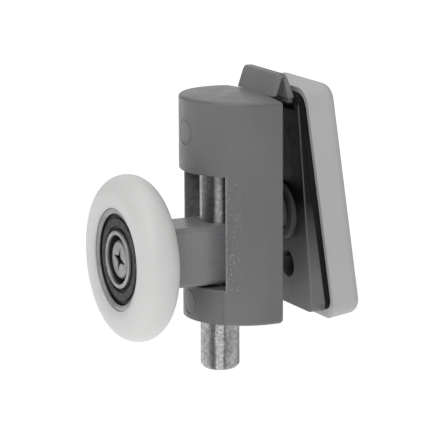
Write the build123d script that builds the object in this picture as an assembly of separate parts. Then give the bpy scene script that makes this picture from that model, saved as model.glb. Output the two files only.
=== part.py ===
from build123d import *
import os
from math import cos, radians, sin, tan

# Spring-loaded lower roller for a sliding shower door.
# Frame: Z runs up the push rod, Z = 0 is the underside of the housing, the wheel is on the -Y side
# and the glass clamp on the +Y side.  All sizes are in millimetres.

# ---- driving dimensions ------------------------------------------------------------------------
# fits
RUN = 0.06                  # radial clearance of a running fit
LOOSE = 0.15                # clearance hole
THREAD = 0.05               # screw in its thread
PLUG_FIT = 0.03
SEAT_GAP = 0.02             # between a face and what rests on it
OVERRUN = 1.0               # how far a cut runs past the faces that it opens
OVERLAP = 0.2               # how far two joined shapes run into each other

# push rod
ROD_R = 3.0                 # 6 mm bar
ROD_STUB = 8.2              # free length below the housing
ROD_CHAMFER = 0.6
ROD_BORE_R = 2.2            # blind bore in the top end, for the spring
ROD_BORE_DEPTH = 8.9
ROD_RELIEF = 0.2            # depth of the relief where the rod leaves the housing at rest
ROD_RELIEF_H = 0.8
STROKE = 7.0                # how far the rod and the wheel rise
ROD_TOP_ROOM = 1.0          # room left over the rod at full stroke
SPRING_WIRE_R = 0.28
SPRING_ROOM = 0.15          # between the coil and the rod's bore
SPRING_TURNS = 8

# carrier
CARRIER_W = 8.6
CARRIER_H = 9.2
CARRIER_BACK_Y = 4.1
CARRIER_LIFT = 0.4          # gap under the carrier at rest
CARRIER_ROOM = 0.9          # gap over the carrier at full stroke
CARRIER_FRONT_Y = -10.9
CARRIER_FILLET = 0.8
CARRIER_BACK_FILLET = 0.4
CARRIER_BOSS_R = 3.7
CARRIER_PIN_R = 1.0
CARRIER_PIN_INSET = 0.2     # each end of the pin lies this far under the carrier's side

# housing
HOUSING_R = 9.85            # front arc
HOUSING_ARC_Y = 4.1         # arc centre behind the rod axis
HOUSING_BACK_Y = 6.1        # flat back
HOUSING_H = 34.6
HOUSING_CAP = 1.2           # wall over the rod's bore
HOUSING_CROWN = 0.5         # rise of the domed top over its edge
HOUSING_TOP_FILLET = 0.5
HOUSING_LOW_FILLET = 0.7
HOUSING_CORNER_FILLET = 0.6
HOUSING_DOME_Y = 4.0        # dome's centre in front of the flat back
SLOT_SIDE = 2.8             # window's side room beside the carrier
SLOT_LOW = 5.4
SLOT_BACK_ROOM = 0.3        # window's room behind the carrier
SLOT_RIM_FILLET = 0.15
WEB_SET_BACK = 0.5          # the web under the window stands this far behind the front arc
WITNESS_R = 2.0             # round moulding mark on the front
WITNESS_GROOVE = 0.22
WITNESS_DEPTH = 0.1
WITNESS_DROP = 5.6          # upper mark's centre below the top
SPIGOT_R = 3.1              # rear spigot that seats in the bracket's collar
SPIGOT_BORE_R = 2.5
SPIGOT_BORE_WALL = 1.9      # between the rod's surface and the spigot's bore
BUSH_WALL = 1.1
BUSH_LENGTH = 4.2

# bearing
BEARING_R = 8.0
BEARING_W = 5.0
BEARING_FACE_Y = -17.2
OUTER_RING_WALL = 1.0
RACE_GAP = 2.6              # radial space between the rings
GROOVE_DEPTH = 0.22         # of each raceway
GROOVE_CLEAR = 0.08
INNER_RING_IN_R = 2.5
RING_CHAMFER = 0.3
BALL_COUNT = 7
CAGE_T = 0.6
CAGE_HALF_W = 1.75
SEAL_T = 0.4
SEAL_RECESS = 0.25
SEAL_CLEAR = 0.12

# tyre
WHEEL_R = 12.75
WHEEL_HALF_W = 3.2
WHEEL_RIM = 1.6             # from the bearing to the middle of the tyre's round section
WHEEL_DISH_TURN = 28.4      # how far the round section turns inward, in degrees
WHEEL_MID_Y = -14.7
LIP = 0.12                  # tyre lips that hold the bearing

# axle fasteners
AXLE_R = 1.95               # M4 screw
AXLE_TIP_GAP = 1.6          # between the screw's tip and the rod
HEAD_R = 3.18
HEAD_H = 1.6
HEAD_ROUND = 0.72           # rounding of the screw head's edge
HEAD_ROOM = 0.57            # round the head in the inner ring's counterbore
HEAD_SEAT_DEPTH = 1.95
CROSS_ARM = 3.9
CROSS_W = 0.85
CROSS_DEPTH = 1.1
INSERT_R = 2.9
INSERT_LENGTH = 5.2
INSERT_SINK = 0.4           # depth of the insert under the carrier's front

# clamp: bracket, gasket and cover lie on planes tilted about X
TILT = 8.0
FRONT_TILT = 4.34           # front face of the wedge bracket
BRACKET_GAP = 6.1           # from the housing's back to the bracket's front plane at Z = 0
BRACKET_TOP_T = 0.25        # the wedge's thickness at its top
BRACKET_HALF_W = 7.4
BRACKET_LOW_Z = 0.3
BRACKET_DROP = 0.7          # bracket's top below the housing's
BRACKET_CORNER_R = 1.6
BRACKET_EDGE_R = 0.35       # front edges
BRACKET_HOLE_R = 2.1
BRACKET_RIM_R = 0.2         # rounded front rim of the hole
BRACKET_HOLE_Z = 7.0
NOTCH_HALF_W = 6.2          # mould window under the shelf, through to the gasket
NOTCH_H = 1.2
COLLAR_Z = 15.6
COLLAR_R = 4.5
COLLAR_H = 0.9
COLLAR_SEAT = 0.5           # depth of the spigot's seat in the collar
COLLAR_GAP = 0.15
GASKET_T = 0.9
GASKET_INSET = 0.8          # gasket's edge inside the cover's
GASKET_LOW_INSET = 1.4
GASKET_CORNER_R = 2.2
COVER_T = 5.0
COVER_HALF_W = 8.3
COVER_LOW_V = -3.2          # v runs up the clamp plane
COVER_RISE = 1.4            # cover's top above the bracket's
COVER_CORNER_R = 2.6
COVER_EDGE_R = 1.5
PAD_T = 0.6
PAD_INSET = 2.0
PAD_GAP = 0.05

# latch tab over the housing
TAB_HALF_W = 5.8
HINGE_BACK = 1.4            # living hinge's axis behind the housing's back
HINGE_RISE = 2.7            # and above its top
HINGE_R = 0.45
TAB_HOLD = 0.05             # how far the foot reaches over the housing
TAB_FOOT_DROP = 0.25        # foot below the housing's top, beside its rounded edge
TAB_T = 0.75
TAB_CORNER_R = 0.9          # rounding at both ends of the ridge
TAB_ROOT_BACK = 2.7         # rear leg's foot behind the housing's back
TAB_ROOT_INSET = 0.55       # how far the rear leg stands from the hinge axis
TAB_CROWN_BACK = 0.95       # rear leg's crown behind the hinge axis
TAB_CROWN_RISE = 0.3
SHELF_H = 0.7

# clamp screw and glass bush
CLAMP_SCREW_R = 1.5
CLAMP_HEAD_R = 2.8
CLAMP_HEAD_H = 1.9
CLAMP_TIP_GAP = 0.39        # between the screw's tip and the floor of the spigot's bore
PLUG_T = 0.8
BUSH_OUT_R = 4.6
BUSH_END_GAP = 0.1
NUT_R = 2.6
NUT_LENGTH = 2.0
DRIVE_ARM = 2.6             # cross recess of the clamp screw
DRIVE_W = 0.7
DRIVE_DEPTH = 0.9

# ---- derived places ----------------------------------------------------------------------------
ROD_BORE_TOP = HOUSING_H - HOUSING_CAP
ROD_TOP = ROD_BORE_TOP - ROD_TOP_ROOM - STROKE
SLOT_HALF_W = CARRIER_W / 2 + SLOT_SIDE
SLOT_BACK_Y = CARRIER_BACK_Y + SLOT_BACK_ROOM
SLOT_HIGH = SLOT_LOW + CARRIER_LIFT + CARRIER_H + STROKE + CARRIER_ROOM
AXLE_Z = SLOT_LOW + CARRIER_LIFT + CARRIER_H / 2
AXLE_TIP_Y = -ROD_R - AXLE_TIP_GAP
BEARING_BACK_Y = BEARING_FACE_Y + BEARING_W
BEARING_MID_Y = BEARING_FACE_Y + BEARING_W / 2
OUTER_RING_IN_R = BEARING_R - OUTER_RING_WALL
INNER_RING_OUT_R = OUTER_RING_IN_R - RACE_GAP
PITCH_R = (OUTER_RING_IN_R + INNER_RING_OUT_R) / 2
BALL_R = RACE_GAP / 2 + GROOVE_DEPTH
HEAD_SEAT_R = HEAD_R + HEAD_ROOM
LIP_R = BEARING_R - LIP
WHEEL_RIM_R = BEARING_R + WHEEL_RIM
BRACKET_FRONT_Y = HOUSING_BACK_Y + BRACKET_GAP
BRACKET_HIGH_Z = HOUSING_H - BRACKET_DROP
SHELF_Z = BRACKET_HIGH_Z - SHELF_H
NOTCH_LOW_Z = SHELF_Z - NOTCH_H
HINGE_Y = HOUSING_BACK_Y + HINGE_BACK
HINGE_Z = HOUSING_H + HINGE_RISE
TAB_FOOT_Y = HOUSING_BACK_Y - TAB_HOLD
TAB_FOOT_Z = HOUSING_H - TAB_FOOT_DROP
TAB_ROOT_Y = HOUSING_BACK_Y + TAB_ROOT_BACK
CLAMP_NORMAL = (0, cos(radians(TILT)), sin(radians(TILT)))
# on the clamp plane, local x runs along -X, local y up the plane and local z along the normal
CLAMP_PLANE = Plane(origin=(0, 0, 0), x_dir=(-1, 0, 0), z_dir=CLAMP_NORMAL)


def along_y(radius, y0, y1, x=0.0, z=0.0):
    """Cylinder along Y from y0 to y1."""
    plane = Plane(origin=(x, y0, z), x_dir=(1, 0, 0), z_dir=(0, 1, 0))
    return extrude(plane * Circle(radius), y1 - y0)


def along_z(radius, z0, z1):
    """Cylinder along Z from z0 to z1."""
    return extrude(Plane.XY.offset(z0) * Circle(radius), z1 - z0)


def box(x0, x1, y0, y1, z0, z1):
    """Box between two corners."""
    centre = ((x0 + x1) / 2, (y0 + y1) / 2, (z0 + z1) / 2)
    return Pos(*centre) * Box(x1 - x0, y1 - y0, z1 - z0)


def along_x(radius, half, y, z):
    """Cylinder along X, from -half to half."""
    plane = Plane(origin=(-half, y, z), x_dir=(0, 1, 0), z_dir=(1, 0, 0))
    return extrude(plane * Circle(radius), 2 * half)


def d_plan(radius):
    """D-shaped plan of the housing: front arc of the given radius, straight sides, flat back."""
    front = (0, HOUSING_ARC_Y - radius)
    left = (-radius, HOUSING_ARC_Y)
    right = (radius, HOUSING_ARC_Y)
    arc = ThreePointArc(left, front, right)
    back = Polyline(right, (radius, HOUSING_BACK_Y), (-radius, HOUSING_BACK_Y), left)
    return make_face([arc, back])


def clamp_slab(half_w, low_v, high_v, corner_r, n0, n1):
    """Rounded rectangular plate between two planes parallel to the clamp plane."""
    mid = (low_v + high_v) / 2
    sketch = Pos(0, mid) * RectangleRounded(2 * half_w, high_v - low_v, corner_r)
    return extrude(CLAMP_PLANE.offset(n0) * sketch, n1 - n0)


def along_clamp(radius, n0, n1, v):
    """Cylinder along the clamp normal at height v on the clamp plane."""
    return extrude(CLAMP_PLANE.offset(n0) * Pos(0, v) * Circle(radius), n1 - n0)


def clamp_v(y, z):
    """Height on the clamp plane of the point (y, z)."""
    return z * cos(radians(TILT)) - y * sin(radians(TILT))


def front_y(z):
    """The bracket's front plane."""
    return BRACKET_FRONT_Y - z * tan(radians(FRONT_TILT))


BRACKET_BACK_Y = front_y(BRACKET_HIGH_Z) + BRACKET_TOP_T
CLAMP_N = BRACKET_BACK_Y * cos(radians(TILT)) + BRACKET_HIGH_Z * sin(radians(TILT))
COVER_N = CLAMP_N + GASKET_T
COVER_HIGH_V = clamp_v(BRACKET_BACK_Y, BRACKET_HIGH_Z) + COVER_RISE
HEAD_N = COVER_N + COVER_T - PLUG_T - CLAMP_HEAD_H
SCREW_V = clamp_v(front_y(COLLAR_Z), COLLAR_Z)
CLAMP_TIP_Y = ROD_R + SPIGOT_BORE_WALL + CLAMP_TIP_GAP
CLAMP_TIP_N = (CLAMP_TIP_Y + SCREW_V * sin(radians(TILT))) / cos(radians(TILT))
COLLAR_FRONT_Y = front_y(COLLAR_Z) - COLLAR_H


# ---- housing group -----------------------------------------------------------------------------
def on_front_arc(edge):
    """Whether an edge of the window lies on the housing's front arc."""
    ends = [edge @ share for share in (0, 0.5, 1)]
    return all(abs(Vector(p.X, p.Y - HOUSING_ARC_Y, 0).length - HOUSING_R) < 1e-3
               and abs(p.X) < SLOT_HALF_W + 1e-3
               and SLOT_LOW - 1e-3 < p.Z < SLOT_HIGH + 1e-3 for p in ends)


def make_housing():
    """D-shaped moulding with the carrier's window, the rod's bore and the rear spigot."""
    body = extrude(d_plan(HOUSING_R), HOUSING_H)
    body = fillet(body.edges().filter_by(Axis.Z).group_by(Axis.Y)[-1], HOUSING_CORNER_FILLET)
    dome_r = (HOUSING_R ** 2 + HOUSING_CROWN ** 2) / (2 * HOUSING_CROWN)
    body = body & (Pos(0, HOUSING_BACK_Y - HOUSING_DOME_Y, HOUSING_H - dome_r) * Sphere(dome_r))
    body = fillet(body.faces().sort_by(Axis.Z)[-1].edges(), HOUSING_TOP_FILLET)
    body = fillet(body.faces().sort_by(Axis.Z)[0].edges(), HOUSING_LOW_FILLET)
    front = HOUSING_ARC_Y - HOUSING_R - OVERRUN
    body -= box(-SLOT_HALF_W, SLOT_HALF_W, front, SLOT_BACK_Y, SLOT_LOW, SLOT_HIGH)
    rim = body.edges().filter_by(on_front_arc)
    rim = rim.filter_by(lambda edge: edge.center().Z > SLOT_LOW + OVERRUN)
    body = fillet(rim, SLOT_RIM_FILLET)
    skin = d_plan(HOUSING_R + 2 * OVERRUN) - d_plan(HOUSING_R - WEB_SET_BACK)
    web_cut = extrude(skin, SLOT_LOW + OVERRUN)
    body -= web_cut & box(-SLOT_HALF_W, SLOT_HALF_W, front - OVERRUN, 0, -OVERRUN, SLOT_LOW + OVERRUN)
    body -= along_z(ROD_R + RUN, BUSH_LENGTH - OVERRUN, ROD_BORE_TOP)
    body -= along_z(ROD_R + BUSH_WALL, -OVERRUN, BUSH_LENGTH)
    body += along_y(SPIGOT_R, HOUSING_BACK_Y - OVERLAP, COLLAR_FRONT_Y - COLLAR_GAP, z=COLLAR_Z)
    body -= along_y(SPIGOT_BORE_R, ROD_R + SPIGOT_BORE_WALL, COLLAR_FRONT_Y, z=COLLAR_Z)
    for height, radius in ((HOUSING_H - WITNESS_DROP, HOUSING_R), (SLOT_LOW / 2, HOUSING_R - WEB_SET_BACK)):
        y_out = HOUSING_ARC_Y - radius
        ring = along_y(WITNESS_R, y_out - OVERRUN, y_out + OVERRUN, z=height)
        ring -= along_y(WITNESS_R - WITNESS_GROOVE, y_out - OVERRUN, y_out + OVERRUN, z=height)
        shell = extrude(d_plan(radius + 2 * OVERRUN) - d_plan(radius - WITNESS_DEPTH), HOUSING_H)
        body -= ring & shell
    return body


def make_guide_bush():
    """Plain bush pressed into the underside, which guides the rod."""
    bore = along_z(ROD_R + RUN, -OVERRUN, BUSH_LENGTH + OVERRUN)
    return along_z(ROD_R + BUSH_WALL, 0, BUSH_LENGTH) - bore


def make_return_spring():
    """Compression spring between the rod's bore and the top of the housing's bore."""
    coil_r = ROD_BORE_R - SPRING_WIRE_R - SPRING_ROOM
    low = ROD_TOP - ROD_BORE_DEPTH + SPRING_WIRE_R + SEAT_GAP
    height = ROD_BORE_TOP - SPRING_WIRE_R - SEAT_GAP - low
    path = Helix(pitch=height / SPRING_TURNS, height=height, radius=coil_r, center=(0, 0, low))
    section = Plane(origin=path @ 0, z_dir=path % 0) * Circle(SPRING_WIRE_R)
    return sweep(section, path=path, is_frenet=True)


# ---- plunger group -----------------------------------------------------------------------------
def make_push_rod():
    """Chamfered bar with a blind bore in its top end and a fine relief inside the bush."""
    rod = along_z(ROD_R, -ROD_STUB, ROD_TOP)
    rod = chamfer(rod.edges().group_by(Axis.Z)[0], ROD_CHAMFER)
    rod -= along_z(ROD_R + OVERRUN, 0, ROD_RELIEF_H) - along_z(ROD_R - ROD_RELIEF, 0, ROD_RELIEF_H)
    rod -= along_z(ROD_BORE_R, ROD_TOP - ROD_BORE_DEPTH, ROD_TOP + OVERRUN)
    return rod - along_x(CARRIER_PIN_R + THREAD, CARRIER_W, 0, AXLE_Z)


def make_wheel_carrier():
    """Block that is pinned to the rod and carries the wheel's axle in front."""
    low = SLOT_LOW + CARRIER_LIFT
    half = CARRIER_W / 2
    block = box(-half, half, CARRIER_FRONT_Y, CARRIER_BACK_Y, low, low + CARRIER_H)
    block = fillet(block.edges().filter_by(Axis.Y), CARRIER_FILLET)
    block = fillet(block.edges().group_by(Axis.Y)[-1], CARRIER_BACK_FILLET)
    block += along_y(CARRIER_BOSS_R, CARRIER_FRONT_Y + OVERLAP, BEARING_BACK_Y, z=AXLE_Z)
    block -= along_z(ROD_R + THREAD, low - OVERRUN, low + CARRIER_H + OVERRUN)
    block -= along_x(CARRIER_PIN_R + THREAD, CARRIER_W, 0, AXLE_Z)
    insert_front = CARRIER_FRONT_Y + INSERT_SINK
    block -= along_y(INSERT_R, insert_front, insert_front + INSERT_LENGTH, z=AXLE_Z)
    block -= along_y(AXLE_R + LOOSE, BEARING_BACK_Y - OVERRUN, AXLE_TIP_Y + 2 * LOOSE, z=AXLE_Z)
    return block


def make_carrier_pin():
    """Pin that ties the carrier to the rod."""
    return along_x(CARRIER_PIN_R, CARRIER_W / 2 - CARRIER_PIN_INSET, 0, AXLE_Z)


def make_axle_insert():
    """Threaded brass insert in the carrier."""
    y0 = CARRIER_FRONT_Y + INSERT_SINK
    y1 = y0 + INSERT_LENGTH
    bore = along_y(AXLE_R + THREAD, y0 - OVERRUN, y1 + OVERRUN, z=AXLE_Z)
    return along_y(INSERT_R, y0, y1, z=AXLE_Z) - bore


def make_axle_sleeve():
    """Steel sleeve between the screw and the bearing's inner ring."""
    y0 = BEARING_FACE_Y + HEAD_SEAT_DEPTH
    body = along_y(INNER_RING_IN_R - THREAD, y0, BEARING_BACK_Y, z=AXLE_Z)
    return body - along_y(AXLE_R + THREAD, y0 - OVERRUN, BEARING_BACK_Y + OVERRUN, z=AXLE_Z)


def make_axle_screw():
    """Pan-head screw with a cross recess, clamping the inner ring to the carrier."""
    seat = BEARING_FACE_Y + HEAD_SEAT_DEPTH
    top = seat - HEAD_H
    head = along_y(HEAD_R, top, seat, z=AXLE_Z)
    head = fillet(head.edges().group_by(Axis.Y)[0], HEAD_ROUND)
    screw = head + along_y(AXLE_R, seat - OVERLAP, AXLE_TIP_Y, z=AXLE_Z)
    half = CROSS_ARM / 2
    wide = CROSS_W / 2
    screw -= box(-half, half, top - OVERRUN, top + CROSS_DEPTH, AXLE_Z - wide, AXLE_Z + wide)
    screw -= box(-wide, wide, top - OVERRUN, top + CROSS_DEPTH, AXLE_Z - half, AXLE_Z + half)
    return screw


# ---- bearing -----------------------------------------------------------------------------------
def race_groove():
    """Torus that cuts both raceways."""
    profile = Pos(PITCH_R, 0) * Circle(BALL_R + GROOVE_CLEAR)
    return Pos(0, BEARING_MID_Y, AXLE_Z) * revolve(Plane.XY * profile, Axis.Y, 360)


def make_outer_ring():
    """Outer ring with its raceway and the steps for the seals."""
    ring = along_y(BEARING_R, BEARING_FACE_Y, BEARING_BACK_Y, z=AXLE_Z)
    ring = chamfer(ring.edges(), RING_CHAMFER)
    ring -= along_y(OUTER_RING_IN_R, BEARING_FACE_Y - OVERRUN, BEARING_BACK_Y + OVERRUN, z=AXLE_Z)
    return ring - race_groove()


def make_inner_ring():
    """Inner ring with its raceway and the counterbore for the screw head."""
    ring = along_y(INNER_RING_OUT_R, BEARING_FACE_Y, BEARING_BACK_Y, z=AXLE_Z)
    ring -= along_y(INNER_RING_IN_R, BEARING_FACE_Y - OVERRUN, BEARING_BACK_Y + OVERRUN, z=AXLE_Z)
    ring -= along_y(HEAD_SEAT_R, BEARING_FACE_Y - OVERRUN, BEARING_FACE_Y + HEAD_SEAT_DEPTH, z=AXLE_Z)
    return ring - race_groove()


def ball_turns():
    """Turns about the axle that carry the first ball's place to each ball's place."""
    centre = Pos(0, BEARING_MID_Y, AXLE_Z)
    return [centre * Rot(0, 360 * i / BALL_COUNT, 0) for i in range(BALL_COUNT)]


def make_balls():
    """The set of balls."""
    return Compound(children=[turn * Pos(PITCH_R, 0, 0) * Sphere(BALL_R) for turn in ball_turns()])


def make_cage():
    """Ring with a pocket round each ball."""
    y0 = BEARING_MID_Y - CAGE_HALF_W
    y1 = BEARING_MID_Y + CAGE_HALF_W
    cage = along_y(PITCH_R + CAGE_T / 2, y0, y1, z=AXLE_Z)
    cage -= along_y(PITCH_R - CAGE_T / 2, y0 - OVERRUN, y1 + OVERRUN, z=AXLE_Z)
    pocket = Pos(PITCH_R, 0, 0) * Rot(0, 90, 0) * Cylinder(BALL_R + RUN, 4 * CAGE_T)
    for turn in ball_turns():
        cage -= turn * pocket
    return cage


def make_seal(y0):
    """Thin annular seal held in the outer ring, clear of the inner ring."""
    seal = along_y(OUTER_RING_IN_R - SEAT_GAP, y0, y0 + SEAL_T, z=AXLE_Z)
    return seal - along_y(INNER_RING_OUT_R + SEAL_CLEAR, y0 - OVERRUN, y0 + SEAL_T + OVERRUN, z=AXLE_Z)


def make_tyre():
    """Nylon tyre with a crowned tread, moulded round the bearing."""
    crown = WHEEL_R - WHEEL_RIM_R
    tread = EllipticalCenterArc((WHEEL_RIM_R, 0), crown, WHEEL_HALF_W,
                                start_angle=-90 - WHEEL_DISH_TURN, arc_size=180 + 2 * WHEEL_DISH_TURN)
    low = tread @ 0
    high = tread @ 1
    back = Polyline(high, (LIP_R, high.Y), (LIP_R, low.Y), low)
    face = make_face([tread, back])
    tyre = Pos(0, WHEEL_MID_Y, AXLE_Z) * revolve(face, Axis.Y, 360)
    return tyre - along_y(BEARING_R, BEARING_FACE_Y, BEARING_BACK_Y, z=AXLE_Z)


# ---- clamp group -------------------------------------------------------------------------------
def on_bracket_front(edge):
    """Whether an edge lies on the bracket's front plane, away from the shelf."""
    ends = [edge @ share for share in (0, 0.5, 1)]
    return all(abs(p.Y - front_y(p.Z)) < 1e-3 and p.Z < NOTCH_LOW_Z + OVERRUN / 2 for p in ends)


def on_hole_rim(edge):
    """Whether an edge is the fixing hole's rim on the bracket's front plane."""
    ends = [edge @ share for share in (0, 0.5, 1)]
    return all(abs(p.Y - front_y(p.Z)) < 1e-3
               and Vector(p.X, p.Z - BRACKET_HOLE_Z, 0).length < BRACKET_HOLE_R + OVERLAP for p in ends)


def make_bracket():
    """Wedge plate with the collar for the housing's spigot and a shelf for the latch tab."""
    low, high = BRACKET_LOW_Z, BRACKET_HIGH_Z
    slope = tan(radians(TILT))
    back = CLAMP_N / cos(radians(TILT))
    side = [(front_y(low), low), (back - slope * low, low), (back - slope * high, high),
            (front_y(high), high)]
    profile = Plane.YZ.offset(-BRACKET_HALF_W) * Polyline(*side, close=True)
    plate = extrude(make_face(profile), 2 * BRACKET_HALF_W, dir=(1, 0, 0))
    outline = RectangleRounded(2 * BRACKET_HALF_W, high - low, BRACKET_CORNER_R)
    plate = plate & extrude(Plane.XZ * Pos(0, (low + high) / 2) * outline, -2 * CLAMP_N)
    plate = fillet(plate.edges().filter_by(on_bracket_front), BRACKET_EDGE_R)
    plate -= box(-NOTCH_HALF_W, NOTCH_HALF_W, 0, CLAMP_N, NOTCH_LOW_Z, SHELF_Z)
    plate += box(-TAB_HALF_W, TAB_HALF_W, TAB_ROOT_Y, front_y(high) + OVERLAP, SHELF_Z, high)
    collar_end = front_y(COLLAR_Z - COLLAR_R) + OVERLAP
    plate += along_y(COLLAR_R, COLLAR_FRONT_Y, collar_end, z=COLLAR_Z)
    plate -= along_y(SPIGOT_R + LOOSE, COLLAR_FRONT_Y - OVERRUN, COLLAR_FRONT_Y + COLLAR_SEAT, z=COLLAR_Z)
    plate -= along_clamp(NUT_R, 0, CLAMP_N + OVERRUN, SCREW_V)
    hole_v = clamp_v(front_y(BRACKET_HOLE_Z), BRACKET_HOLE_Z)
    plate -= along_clamp(BRACKET_HOLE_R, 0, CLAMP_N + OVERRUN, hole_v)
    return fillet(plate.edges().filter_by(on_hole_rim), BRACKET_RIM_R)


def make_clamp_insert():
    """Threaded insert in the bracket's collar."""
    n0 = CLAMP_N - NUT_LENGTH
    bore = along_clamp(CLAMP_SCREW_R + THREAD, n0 - OVERRUN, CLAMP_N + OVERRUN, SCREW_V)
    return along_clamp(NUT_R, n0, CLAMP_N, SCREW_V) - bore


def make_gasket():
    """Rubber sheet on the bracket's back face."""
    half = COVER_HALF_W - GASKET_INSET
    sheet = clamp_slab(half, COVER_LOW_V + GASKET_LOW_INSET, COVER_HIGH_V - GASKET_INSET,
                       GASKET_CORNER_R, CLAMP_N, COVER_N)
    return sheet - along_clamp(BUSH_OUT_R + LOOSE, CLAMP_N - OVERRUN, COVER_N + OVERRUN, SCREW_V)


def make_glass_bush():
    """Nylon bush that centres the clamp screw in the glass panel's hole."""
    bush = along_clamp(BUSH_OUT_R, CLAMP_N, COVER_N - BUSH_END_GAP, SCREW_V)
    return bush - along_clamp(CLAMP_SCREW_R + LOOSE, CLAMP_N - OVERRUN, COVER_N + OVERRUN, SCREW_V)


def make_cover():
    """Outer clamp plate with rounded edges, a recess for the pad and the screw's counterbore."""
    slab = clamp_slab(COVER_HALF_W, COVER_LOW_V, COVER_HIGH_V, COVER_CORNER_R, COVER_N, COVER_N + COVER_T)
    outer = slab.faces().sort_by(Axis((0, 0, 0), CLAMP_PLANE.z_dir))[-1]
    slab = fillet(outer.edges(), COVER_EDGE_R)
    slab -= pad_shape(0.0)
    slab -= along_clamp(CLAMP_SCREW_R + LOOSE, COVER_N - OVERRUN, HEAD_N + OVERRUN, SCREW_V)
    return slab - along_clamp(CLAMP_HEAD_R + LOOSE, HEAD_N, COVER_N + COVER_T + OVERRUN, SCREW_V)


def pad_shape(inset):
    """The pad's space in the cover's inner face."""
    edge = PAD_INSET + inset
    return clamp_slab(COVER_HALF_W - edge, COVER_LOW_V + edge, COVER_HIGH_V - edge,
                      COVER_CORNER_R, COVER_N, COVER_N + PAD_T)


def make_cover_pad():
    """Rubber pad let into the cover's inner face."""
    hole = along_clamp(CLAMP_SCREW_R + 2 * LOOSE, COVER_N - OVERRUN, COVER_N + PAD_T + OVERRUN, SCREW_V)
    return pad_shape(PAD_GAP) - hole


def make_clamp_screw():
    """Cheese-head screw through the cover into the bracket's insert."""
    top = HEAD_N + CLAMP_HEAD_H
    screw = along_clamp(CLAMP_HEAD_R, HEAD_N, top, SCREW_V)
    screw += along_clamp(CLAMP_SCREW_R, CLAMP_TIP_N, HEAD_N + OVERLAP, SCREW_V)
    across = Pos(0, SCREW_V) * Rectangle(DRIVE_ARM, DRIVE_W)
    upright = Pos(0, SCREW_V) * Rectangle(DRIVE_W, DRIVE_ARM)
    recess_plane = CLAMP_PLANE.offset(top - DRIVE_DEPTH)
    screw -= extrude(recess_plane * across, DRIVE_DEPTH + OVERRUN)
    return screw - extrude(recess_plane * upright, DRIVE_DEPTH + OVERRUN)


def make_cover_plug():
    """Flush plug over the screw head."""
    n1 = COVER_N + COVER_T
    return along_clamp(CLAMP_HEAD_R + LOOSE - PLUG_FIT, n1 - PLUG_T, n1, SCREW_V)


# ---- latch tab ---------------------------------------------------------------------------------
def tab_strip(points):
    """Strip of the tab's width with the given outline in the YZ plane."""
    outline = Plane.YZ.offset(-TAB_HALF_W) * Polyline(*points, close=True)
    return extrude(make_face(outline), 2 * TAB_HALF_W, dir=(1, 0, 0))


def rounded_ends(strip):
    """A strip with both upper corners rounded as seen from the front."""
    low = BRACKET_LOW_Z
    high = HINGE_Z + HINGE_R
    outline = RectangleRounded(2 * TAB_HALF_W, high - low, TAB_CORNER_R)
    return strip & extrude(Plane.XZ * Pos(0, (low + high) / 2) * outline, -2 * CLAMP_N)


def make_tab_root():
    """Rear leg of the tab, which stands on the bracket's shelf."""
    points = [(HINGE_Y, HINGE_Z), (HINGE_Y + HINGE_R, HINGE_Z + HINGE_R),
              (HINGE_Y + TAB_CROWN_BACK, HINGE_Z + TAB_CROWN_RISE),
              (BRACKET_BACK_Y, BRACKET_HIGH_Z), (TAB_ROOT_Y, BRACKET_HIGH_Z),
              (HINGE_Y + TAB_ROOT_INSET, HINGE_Z)]
    return rounded_ends(tab_strip(points)) - along_x(HINGE_R + RUN, TAB_HALF_W + OVERRUN, HINGE_Y, HINGE_Z)


def make_tab_leaf():
    """Front leg of the tab, whose foot holds the housing's top edge."""
    foot = (TAB_FOOT_Y, TAB_FOOT_Z)
    points = [foot, (TAB_FOOT_Y + TAB_T, TAB_FOOT_Z), (HINGE_Y + HINGE_R - SEAT_GAP, HINGE_Z),
              (HINGE_Y - HINGE_R + SEAT_GAP, HINGE_Z)]
    leaf = tab_strip(points) + along_x(HINGE_R, TAB_HALF_W, HINGE_Y, HINGE_Z)
    return rounded_ends(leaf)


PARTS = {
    "housing": make_housing,
    "guide_bush": make_guide_bush,
    "return_spring": make_return_spring,
    "push_rod": make_push_rod,
    "wheel_carrier": make_wheel_carrier,
    "carrier_pin": make_carrier_pin,
    "axle_insert": make_axle_insert,
    "axle_sleeve": make_axle_sleeve,
    "axle_screw": make_axle_screw,
    "bearing_outer_ring": make_outer_ring,
    "bearing_inner_ring": make_inner_ring,
    "bearing_balls": make_balls,
    "bearing_cage": make_cage,
    "bearing_seal_front": lambda: make_seal(BEARING_FACE_Y + SEAL_RECESS),
    "bearing_seal_rear": lambda: make_seal(BEARING_BACK_Y - SEAL_RECESS - SEAL_T),
    "tyre": make_tyre,
    "bracket": make_bracket,
    "clamp_insert": make_clamp_insert,
    "gasket": make_gasket,
    "glass_bush": make_glass_bush,
    "tab_root": make_tab_root,
    "tab_leaf": make_tab_leaf,
    "cover": make_cover,
    "cover_pad": make_cover_pad,
    "clamp_screw": make_clamp_screw,
    "cover_plug": make_cover_plug,
}

os.makedirs("parts", exist_ok=True)
for name, maker in PARTS.items():
    export_step(maker(), f"parts/{name}.step")
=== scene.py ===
import logging
import math
from dataclasses import dataclass
from enum import Enum

import bmesh
import bpy
import numpy as np
from mathutils import Matrix, Vector


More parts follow.
